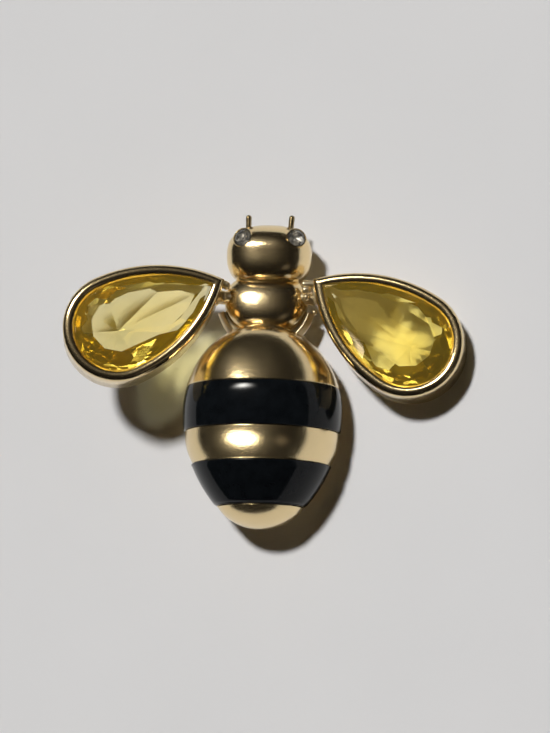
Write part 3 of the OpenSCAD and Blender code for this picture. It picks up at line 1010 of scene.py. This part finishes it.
def pear_stone(bm):
    """A pear-shaped block with its facets cut, its edge at z = 0."""
    wing = sizes("wings")
    r, point, _, _ = pear_sizes(wing)
    table_r, table_point = r - wing.crown_ring, point - wing.table_tip
    edges = add_path(bm, [(x, y, wing.crown_h) for x, y in pear_outline()], closed=True)[1]
    face = bmesh.ops.contextual_create(bm, geom=edges)["faces"]
    walls = bmesh.ops.extrude_face_region(bm, geom=face)["geom"]
    girdle, bottom = -wing.girdle_t, -wing.girdle_t - wing.pavilion_h
    bmesh.ops.translate(bm, verts=only(bmesh.types.BMVert, walls), vec=(0, 0, bottom - wing.crown_h))
    bmesh.ops.recalc_face_normals(bm, faces=bm.faces[:])
    # Where the edge facets meet the table facets, and how far those reach inwards: shares of the crown ring
    shoulder_w, shoulder_h, past_table = 0.42, 0.55, 1.12
    for direction in MAIN_FACETS:
        edge = edge_at(direction, r, point)
        width = edge - edge_at(direction, table_r, table_point)
        heel = edge - wing.heel_w, girdle - wing.heel_h
        cut_facet(bm, direction, edge, 0, edge - width, wing.crown_h)
        cut_facet(bm, direction, edge, girdle, *heel)
        cut_facet(bm, direction, *heel, 0, bottom)
    for direction in EDGE_FACETS:
        edge = edge_at(direction, r, point)
        width = edge - edge_at(direction, table_r, table_point)
        cut_facet(bm, direction, edge, 0, edge - shoulder_w * width, shoulder_h * wing.crown_h)
        cut_facet(bm, direction, edge, girdle, edge - wing.heel_w, girdle - wing.heel_h)
    for direction in TABLE_FACETS:
        edge = edge_at(direction, r, point)
        width = edge - edge_at(direction, table_r, table_point)
        cut_facet(bm, direction, edge - shoulder_w * width, shoulder_h * wing.crown_h,
                  edge - past_table * width, wing.crown_h)


def setting_section():
    """Section of a setting's wall, ledge and rim: distances outwards from the stone's edge, and heights."""
    wing = sizes("wings")
    half = (wing.wall_t + wing.rim_over) / 2
    centre_e, centre_z = wing.wall_t - half, wing.setting_h - wing.rim_h
    above_crown, steps = 0.05, 20
    lip_in, lip_down = 0.05, 0.03
    under = wing.girdle_z + wing.rim_over * wing.crown_h / wing.crown_ring + above_crown
    first = math.asin((under - centre_z) / wing.rim_h)
    turns = [first + (math.pi - first) * i / steps for i in range(steps + 1)]
    rim = [(centre_e - half * math.cos(turn), centre_z + wing.rim_h * math.sin(turn)) for turn in turns]
    foot, slope = 0.12, 0.8
    wall, ledge, gap = wing.wall_t, wing.ledge_w, wing.fit_gap
    ledge_z = wing.girdle_z - wing.girdle_t - gap
    return [*rim, (wall, foot), (wall - 0.3 * foot, 0.3 * foot), (wall - foot, 0),
            (foot - ledge, 0), (0.3 * foot - ledge, 0.3 * foot), (-ledge, foot),
            (-ledge, ledge_z - slope * ledge), (gap, ledge_z), (gap, wing.girdle_z + above_crown),
            (rim[0][0] + lip_in, under - lip_down)]


def setting(bm):
    """Half the setting is spun round the round end and along one flank, cut off at the point and mirrored."""
    r, point, centre, _ = pear_sizes(sizes("wings"))
    section = [Vector((r + e, 0, z)) for e, z in setting_section()]
    verts, edges = add_path(bm, section, closed=True)
    last = spin(bm, verts + edges, UPWARDS, math.pi / 2, steps=26)
    past_point = math.radians(9)
    flank_angle = math.pi / 2 - math.atan(centre / point) + past_point
    spin(bm, last, UPWARDS, flank_angle, steps=30, centre=(0, -centre, 0))
    weld(bm)
    bmesh.ops.bisect_plane(bm, geom=whole(bm), dist=1e-5, plane_co=(0, 0, 0), plane_no=(0, 1, 0),
                           clear_inner=True)
    mirror(bm, "Y")


def mark_inside(bm):
    """Gives the second material to a setting's faces below the stone that look inwards."""
    wing = sizes("wings")
    flank_centre = pear_sizes(wing)[2]
    inwards = -0.2
    bmesh.ops.recalc_face_normals(bm, faces=bm.faces[:])
    for face in bm.faces:
        place = face.calc_center_median()
        centre = Vector((0, 0 if place.x > 0 else math.copysign(flank_centre, -place.y), 0))
        outwards = (place - centre).to_2d().normalized()
        if face.normal.to_2d().dot(outwards) < inwards and place.z < wing.girdle_z:
            face.material_index = 1


class BROOCH_OT_settings(bpy.types.Operator):
    """Make the two open-backed settings with their rolled rims"""

    bl_idname = "brooch.settings"
    bl_label = "Wing settings"

    def execute(self, context):
        for side, name in ((-1, "setting_left"), (1, "setting_right")):
            bm = bmesh.new()
            setting(bm)
            mark_inside(bm)
            finish_piece(name, bm, finish("gold"), ("casting",), matrix=wing_matrix(side),
                         inside=finish("inside"))
        return {"FINISHED"}


class BROOCH_OT_stones(bpy.types.Operator):
    """Make the two faceted pear stones"""

    bl_idname = "brooch.stones"
    bl_label = "Wing stones"

    def execute(self, context):
        for side, name in ((-1, "wing_stone_left"), (1, "wing_stone_right")):
            bm = bmesh.new()
            pear_stone(bm)
            seat = Matrix.Translation((0, 0, sizes("wings").girdle_z))
            material = finish(name.replace("wing_", ""))
            finish_piece(name + "_cut", bm, material, (name,), matrix=wing_matrix(side) @ seat,
                         sharp_angle=FACET_ANGLE)
        return {"FINISHED"}


# Heights of an eye stone's parts above and below its edge, and the gap round it, in millimetres
EYE_CROWN = 0.3
EYE_GIRDLE = 0.1
EYE_LOW = EYE_GIRDLE + 0.55
EYE_GAP = 0.05


def eye_stone(bm, r):
    """A round stone with eight main facets, its edge at z = 0 and its second material below the edge."""
    table, inside_table, above_table = 0.55 * r, 0.45 * r, EYE_CROWN + 0.02
    shoulder = 0.8 * r, 0.6 * EYE_CROWN
    cylinder(bm, r, EYE_LOW + EYE_CROWN)
    move(bm, (0, 0, (EYE_CROWN - EYE_LOW) / 2))
    for i in range(8):
        main = i * 45
        between = main + 22.5
        cut_facet(bm, main, r, 0, table, EYE_CROWN)
        cut_facet(bm, main, r, -EYE_GIRDLE, 0, -EYE_LOW)
        cut_facet(bm, between, r, 0, *shoulder)
        cut_facet(bm, between, *shoulder, inside_table, above_table)
    below = -0.01
    for face in bm.faces:
        face.material_index = 1 if face.calc_center_median().z < below else 0


def eye_cup(bm, r):
    """A cup round an eye stone, with its hollow below the stone."""
    inner, outer = r + 0.03, r + EYE_GAP + sizes("trim").cup_wall
    edge, top, deep = 0.05, 0.02, 1.0
    section = [(0, -EYE_LOW - 0.2), (inner * 0.4, -EYE_LOW - 0.1), (inner - 0.05, -EYE_GIRDLE - 0.1),
               (inner, -EYE_GIRDLE), (inner, -edge), (inner + edge, top), (outer - edge, top), (outer, -edge),
               (outer, -deep), (0, -deep)]
    verts, edges = add_path(bm, [(e, 0, z) for e, z in section])
    spin(bm, verts + edges, UPWARDS, 2 * math.pi, steps=64)


class BROOCH_OT_eyes(bpy.types.Operator):
    """Make the eye stones and the cups that hold them"""

    bl_idname = "brooch.eyes"
    bl_label = "Eyes"

    def execute(self, context):
        r = sizes("trim").eye_d / 2
        for side, name in ((-1, "left"), (1, "right")):
            matrix = eye_matrix(side)
            bm = bmesh.new()
            eye_stone(bm, r)
            finish_piece("eye_%s_cut" % name, bm, finish("crystal"), ("eye_stone_" + name,),
                         matrix=matrix @ Matrix.Translation((0, 0, -EYE_GAP)), sharp_angle=FACET_ANGLE,
                         inside=finish("foil"))
            bm = bmesh.new()
            eye_cup(bm, r)
            finish_piece("eye_cup_" + name, bm, finish("gold"), ("casting",), matrix=matrix)
        return {"FINISHED"}


# Antennae, joints and fitting


def bar(bm, start, end, radius, tip=None):
    """A bar with two domed ends, spun about its own line; its far end has the radius tip."""
    start, end = Vector(start), Vector(end)
    line = end - start
    length = line.length
    tip = radius if tip is None else tip
    # Two domes that are longer than the line reach past both its ends
    past = max(0.0, (radius + tip - length) / 2)
    steps = 8
    turns = [math.pi / 2 * i / steps for i in range(steps + 1)]
    near = [(radius * math.sin(turn), 0, radius * (1 - math.cos(turn)) - past) for turn in turns]
    far = [(tip * math.cos(turn), 0, length - tip * (1 - math.sin(turn)) + past) for turn in turns]
    part = bmesh.new()
    verts, edges = add_path(part, near + far)
    spin(part, verts + edges, UPWARDS, 2 * math.pi, steps=40)
    weld(part)
    part.transform(Matrix.Translation(start) @ line.to_track_quat("Z", "Y").to_matrix().to_4x4())
    join(bm, part)


class BROOCH_OT_antennae(bpy.types.Operator):
    """Make the two short antennae"""

    bl_idname = "brooch.antennae"
    bl_label = "Antennae"

    def execute(self, context):
        body, trim = sizes("body"), sizes("trim")
        inside_head, thinner = 1.4, 0.03
        tip_y = head_y() + body.head_l / 2 + trim.antenna_l
        root = trim.antenna_l + inside_head
        radius = trim.antenna_d / 2
        for side, name, lean in ((-1, "left", 1.0), (1, "right", 5.0)):
            bm = bmesh.new()
            x = body.head_x + side * trim.antenna_x
            z = body.axis_z + trim.antenna_z
            shift = root * math.tan(math.radians(side * lean))
            bar(bm, (x, tip_y - root, z), (x + shift, tip_y, z), radius - thinner, radius)
            # Their gold is darkened in colour: painted shade
            finish_piece("antenna_" + name, bm, finish("shade_darkened"), ("casting",))
        return {"FINISHED"}


# Lugs of solder at a wing's root, in the brooch's frame: both ends with their radius
LEFT_LUGS = (
    ((-4.6, 1.75, 1.9), (-3.4, 1.2, 2.1), 0.42),
    ((-4.6, 0.75, 2.0), (-4.5, -0.1, 1.9), 0.28),
    ((-4.1, 0.75, 2.3), (-4.0, -0.3, 2.1), 0.26),
    ((-5.2, 0.4, 1.2), (-2.6, 0.2, 1.2), 0.7),
    ((-4.85, -0.2, 1.5), (-4.7, -0.5, 1.3), 0.2),
)
RIGHT_LUGS = (
    ((3.6, 1.6, 2.1), (5.3, 1.6, 2.0), 0.38),
    ((3.7, 0.95, 2.3), (4.7, 1.05, 2.2), 0.4),
    ((3.9, 0.2, 2.2), (4.5, 0.35, 2.1), 0.34),
    ((2.8, 0.4, 1.2), (5.7, 0.2, 1.2), 0.65),
    ((4.95, 1.2, 2.3), (5.15, -0.5, 2.2), 0.17),
    ((5.0, -0.9, 1.6), (5.1, -1.4, 1.5), 0.26),
)


def plate_section(trim):
    """Section of the plate and its rim: distances from the plate's middle, and heights."""
    rim = 0.55
    outer, high = trim.plate_x + rim, trim.plate_t
    crest = outer - rim
    hub, flat, edge = 0.5, 0.5, 0.12
    return [(hub, 0), (outer - edge, 0), (outer, edge), (outer, 0.3), (outer - 0.05, 0.4),
            (crest + 0.08, high - 0.04), (crest, high), (crest - 0.08, high - 0.03), (crest - 0.15, flat),
            (hub, flat)]


class BROOCH_OT_joints(bpy.types.Operator):
    """Make the lugs and the rimmed plate that join the wings to the body"""

    bl_idname = "brooch.joints"
    bl_label = "Wing joints"

    def execute(self, context):
        for name, lugs in (("left", LEFT_LUGS), ("right", RIGHT_LUGS)):
            bm = bmesh.new()
            for start, end, radius in lugs:
                bar(bm, start, end, radius)
            finish_piece("joint_" + name, bm, finish("solder"), ("casting",))
        bm = bmesh.new()
        ends_at = math.radians(14)
        start = Matrix.Rotation(-ends_at, 4, "Z")
        section = [start @ Vector((x, 0, z)) for x, z in plate_section(sizes("trim"))]
        verts, edges = add_path(bm, section, closed=True)
        spin(bm, verts + edges, UPWARDS, 2 * ends_at - math.pi, steps=60)
        weld(bm)
        close_holes(bm)
        move(bm, (sizes("body").thorax_x, 0, 0))
        finish_piece("joint_plate", bm, finish("solder"), ("casting",))
        return {"FINISHED"}


def pin_height(trim):
    """Height of the pin's line, about which the hinge block and the catch are round."""
    return trim.fitting_d / 2 - trim.fitting_h


def web(bm, trim, y, low):
    """The block between the foot bar and a round part of the fitting."""
    shorter = 0.1
    high = -trim.foot_t / 2
    part = bmesh.new()
    block(part, (trim.foot_w, trim.fitting_l - shorter, high - low), (0, y, (high + low) / 2), edge=0.08)
    join(bm, part)


def fitting_foot(bm, trim):
    """The bar soldered to the back."""
    middle = (trim.hinge_y + (trim.hinge_y - trim.span)) / 2
    block(bm, (trim.foot_w, trim.span + trim.fitting_l, trim.foot_t), (0, middle, -trim.foot_t / 2), edge=0.1)


def fitting_hinge(bm, trim):
    """The round hinge block."""
    cylinder(bm, trim.fitting_d / 2, trim.fitting_l, segments=96)
    placed = Matrix.Translation((0, trim.hinge_y, pin_height(trim)))
    bm.transform(placed @ Matrix.Rotation(math.pi / 2, 4, "X"))
    bevel(bm, [e for e in bm.edges if abs(e.verts[0].co.y - e.verts[1].co.y) < WELD], width=0.15)
    web(bm, trim, trim.hinge_y, pin_height(trim))


def fitting_catch(bm, trim):
    """The round catch, open at one side for the pin."""
    outer = trim.fitting_d / 2
    inner = outer - trim.catch_wall
    y, half = trim.hinge_y - trim.span, trim.fitting_l / 2
    half_open = 0.6 * trim.pin_d
    mouth = math.asin(half_open / (outer - trim.catch_wall / 2))
    start = Matrix.Rotation(math.pi + mouth, 4, "Y")
    section = [(inner, y - half), (outer, y - half), (outer, y + half), (inner, y + half)]
    verts, edges = add_path(bm, [start @ Vector((x, along, 0)) for x, along in section], closed=True)
    spin(bm, verts + edges, LENGTHWAYS, 2 * math.pi - 2 * mouth, steps=80)
    weld(bm)
    close_holes(bm)
    bmesh.ops.recalc_face_normals(bm, faces=bm.faces[:])
    corner, into_wall = 0.9, 0.1
    bevel(bm, [e for e in bm.edges if len(e.link_faces) == 2 and e.calc_face_angle() > corner], width=0.12)
    move(bm, (0, 0, pin_height(trim)))
    web(bm, trim, y, pin_height(trim) + inner + into_wall)


def fitting_pin(bm, trim):
    """The closed pin with its tapered point."""
    r = trim.pin_d / 2
    straight = trim.span + trim.fitting_l / 2 + PIN_PAST
    end = straight + trim.pin_point_l
    # The taper's two corners, each a distance from the pin's line and one along it
    first, second = (0.8 * r, straight + 0.3), (0.2 * r, end - 0.05)
    points = [(0, 0), (r, 0), (r, straight), first, second, (0, end)]
    verts, edges = add_path(bm, [(x, trim.hinge_y - along, 0) for x, along in points])
    spin(bm, verts + edges, LENGTHWAYS, 2 * math.pi, steps=40)
    move(bm, (0, 0, pin_height(trim)))


class BROOCH_OT_pin(bpy.types.Operator):
    """Make the foot bar, hinge block, catch and closed pin behind the body"""

    bl_idname = "brooch.pin"
    bl_label = "Pin fitting"

    def execute(self, context):
        parts = (("foot", fitting_foot), ("hinge", fitting_hinge), ("catch", fitting_catch),
                 ("pin", fitting_pin))
        for name, make in parts:
            bm = bmesh.new()
            make(bm, sizes("trim"))
            finish_piece("fitting_" + name, bm, finish("fitting"), ("pin_fitting",))
        return {"FINISHED"}


# The stage

# The photograph's camera in the brooch's frame: its angles in degrees, its distance in millimetres, the focal
# length and the picture's size in pixels, and a point of the brooch with where it shows, in millimetres from
# the picture's middle
CAMERA_PITCH = 7.97
CAMERA_ROLL = 3.65
CAMERA_TURN = 1.2
CAMERA_DISTANCE = 330.0
FOCAL_PIXELS = 3300.0
PICTURE = (550, 733)
SHOWN_AT = Vector((-0.97, 6.65, 0.0))
SHOWN_POINT = Vector((0.0, 0.3, 0.0))


def camera_axes():
    """Rows are the camera's right, up and backward directions in the brooch's frame."""
    turn = Matrix.Rotation(math.radians(-CAMERA_TURN), 3, "Z")
    pitch = Matrix.Rotation(math.radians(-CAMERA_PITCH), 3, "X")
    roll = Matrix.Rotation(math.radians(-CAMERA_ROLL), 3, "Y")
    return turn @ pitch @ roll


# Where the lights stand, seen from the brooch: degrees to the right of the camera's line and above it
KEY_FROM = (-23.5, 27)
LAMP_FROM = (-33, 35)
PANEL_FROM = (-30, -9)
# The spot that the panel hangs near, in the brooch's frame
PANEL_NEAR = Vector((-2.2, -14.5, 8.4))
# The room's soft lights: degrees to the right and up, width and height in degrees, and strength; then the
# strength of its walls through the stones and of its darkness
ROOM_LIGHTS = ((29, -13, 8, 8, 0.15), (-26, 33, 28, 14, 0.14))
WALL_LIGHT = 2.8
DARK_LIGHT = 0.008


def from_camera(right, up):
    """World direction from the brooch to what lies at these angles, in degrees, from the camera's line."""
    a, b = math.radians(right), math.radians(up)
    seen = Vector((math.sin(a) * math.cos(b), math.sin(b), math.cos(a) * math.cos(b)))
    return (rest_matrix().to_3x3() @ (camera_axes().transposed() @ seen)).normalized()


def add_area(name, direction, distance, wide, high, power, colour, roll=0.0):
    """A panel of light with soft edges that lights no matt surface; its roll is in degrees."""
    light = bpy.data.lights.new(name, "AREA")
    light.energy = power
    light.color = colour
    light.shape = "RECTANGLE"
    light.size = wide
    light.size_y = high
    soften(light)
    panel = bpy.data.objects.new(name, light)
    panel.location = direction * distance
    panel.visible_diffuse = False
    panel.rotation_mode = "QUATERNION"
    rolled = Vector((math.cos(math.radians(roll)), math.sin(math.radians(roll)), 0))
    sideways = (rest_matrix().to_3x3() @ camera_axes().transposed() @ rolled).normalized()
    upwards = direction.cross(sideways).normalized()
    axes = Matrix((upwards.cross(direction), upwards, direction))
    panel.rotation_quaternion = axes.transposed().to_quaternion()
    bpy.context.scene.collection.objects.link(panel)
    return panel


def soft_light(shader, direction, right, up, wide, high):
    """A soft patch of light in the room, its place and size in degrees as from_camera counts them."""
    towards = from_camera(right, up)
    sideways = (from_camera(right + 5, up) - from_camera(right - 5, up)).normalized()
    upwards = towards.cross(sideways)
    across = shader.measure("DOT_PRODUCT", direction, sideways) / math.sin(math.radians(wide))
    along = shader.measure("DOT_PRODUCT", direction, upwards) / math.sin(math.radians(high))
    ahead = shader.measure("DOT_PRODUCT", direction, towards)
    fading = shader.maths("EXPONENT", (across * across + along * along) * -1.0)
    return fading * shader.maths("GREATER_THAN", ahead, 0.0)


def room():
    """A dark room; its soft lights show only in the gloss, and its pale walls only through the stones."""
    shader = Shader(bpy.data.worlds.new("room"), "World")
    direction = shader.node("TexCoord", out="Generated")
    patches = shader.node("TexNoise", Vector=direction, Scale=4.0, Detail=1.0)
    walls = shader.ramp(patches, (0.44, 0.15), (0.56, 1.0))
    first, second = (soft_light(shader, direction, *place) * power for *place, power in ROOM_LIGHTS)
    through = shader.ray("Transmission") * walls * WALL_LIGHT
    strength = shader.ray("Glossy") * (first + second) + through + DARK_LIGHT
    return shader.finish(shader.node("Background", Color=(1.0, 0.9, 0.78, 1.0), Strength=strength))


def soften(light):
    """Lets a panel's light fade towards its edges."""
    shader = Shader(light, "Light")
    bright, fade = 4.0, -22.0
    place = shader.node("NewGeometry", out="Parametric")
    away = shader.measure("DISTANCE", place, (0.5, 0.5, 0.0))
    shader.finish(shader.node("Emission", Strength=shader.maths("EXPONENT", away * away * fade) * bright))


class BROOCH_OT_stage(bpy.types.Operator):
    """Make the pale surface, the lights and the camera"""

    bl_idname = "brooch.stage"
    bl_label = "Stage"

    def execute(self, context):
        scene = context.scene
        bm = bmesh.new()
        bmesh.ops.create_grid(bm, x_segments=2, y_segments=2, size=1.5)
        surface = add_object("surface", bm)
        bm.free()
        surface.data.materials.append(finish("surface"))

        scene.world = room()

        sun = bpy.data.lights.new("key", "SUN")
        sun.energy = 2.63
        sun.angle = math.radians(6)
        key = bpy.data.objects.new("key", sun)
        key.rotation_mode = "QUATERNION"
        key.visible_glossy = False
        key.rotation_quaternion = from_camera(*KEY_FROM).to_track_quat("Z", "Y")
        scene.collection.objects.link(key)

        add_area("lamp", from_camera(*LAMP_FROM), distance=0.6, wide=0.44, high=0.09, power=3.0,
                 colour=(1.0, 0.97, 0.9), roll=-12)
        panel = add_area("panel", from_camera(*PANEL_FROM), distance=0.06, wide=0.075, high=0.045,
                         power=0.085, colour=(1.0, 0.96, 0.86))
        panel.location += rest_matrix() @ PANEL_NEAR
        panel.visible_transmission = False
        lit = bpy.data.collections.new("lit by the panel")
        lit.objects.link(bpy.data.objects["abdomen"])
        panel.light_linking.receiver_collection = lit

        axes = camera_axes()
        lens = bpy.data.cameras.new("camera")
        lens.sensor_width = 36.0
        lens.lens = FOCAL_PIXELS / max(PICTURE) * lens.sensor_width
        lens.clip_start, lens.clip_end = 0.01, 10.0
        camera = bpy.data.objects.new("camera", lens)
        place = SHOWN_POINT + axes.transposed() @ (Vector((0, 0, CAMERA_DISTANCE)) - SHOWN_AT)
        turn = (rest_matrix().to_quaternion().to_matrix() @ axes.transposed()).to_4x4()
        camera.matrix_world = Matrix.Translation(rest_matrix() @ place) @ turn
        scene.collection.objects.link(camera)
        scene.camera = camera
        scene.view_settings.view_transform = "Standard"
        return {"FINISHED"}


class BROOCH_PT_panel(bpy.types.Panel):
    """Buttons that build the brooch piece by piece."""

    bl_idname = "BROOCH_PT_panel"
    bl_label = "Bee brooch"
    bl_space_type = "VIEW_3D"
    bl_region_type = "UI"
    bl_category = "Brooch"

    def draw(self, context):
        for operator in OPERATORS:
            self.layout.operator(operator.bl_idname)
        for name, group in GROUPS.items():
            box = self.layout.box()
            for key in group.__annotations__:
                box.prop(getattr(context.scene, name), key)


OPERATORS = (BROOCH_OT_body, BROOCH_OT_enamel, BROOCH_OT_settings, BROOCH_OT_stones, BROOCH_OT_eyes,
             BROOCH_OT_antennae, BROOCH_OT_joints, BROOCH_OT_pin, BROOCH_OT_stage)


def register():
    for cls in (*GROUPS.values(), *OPERATORS, BROOCH_PT_panel):
        bpy.utils.register_class(cls)
    for name, group in GROUPS.items():
        setattr(bpy.types.Scene, name, PointerProperty(type=group))


def unregister():
    for name in GROUPS:
        delattr(bpy.types.Scene, name)
    for cls in reversed((*GROUPS.values(), *OPERATORS, BROOCH_PT_panel)):
        bpy.utils.unregister_class(cls)


def main():
    register()
    bpy.ops.brooch.body()
    bpy.ops.brooch.enamel()
    bpy.ops.brooch.settings()
    bpy.ops.brooch.stones()
    bpy.ops.brooch.eyes()
    bpy.ops.brooch.antennae()
    bpy.ops.brooch.joints()
    bpy.ops.brooch.pin()
    bpy.ops.brooch.stage()
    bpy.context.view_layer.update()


if __name__ == "__main__":
    main()
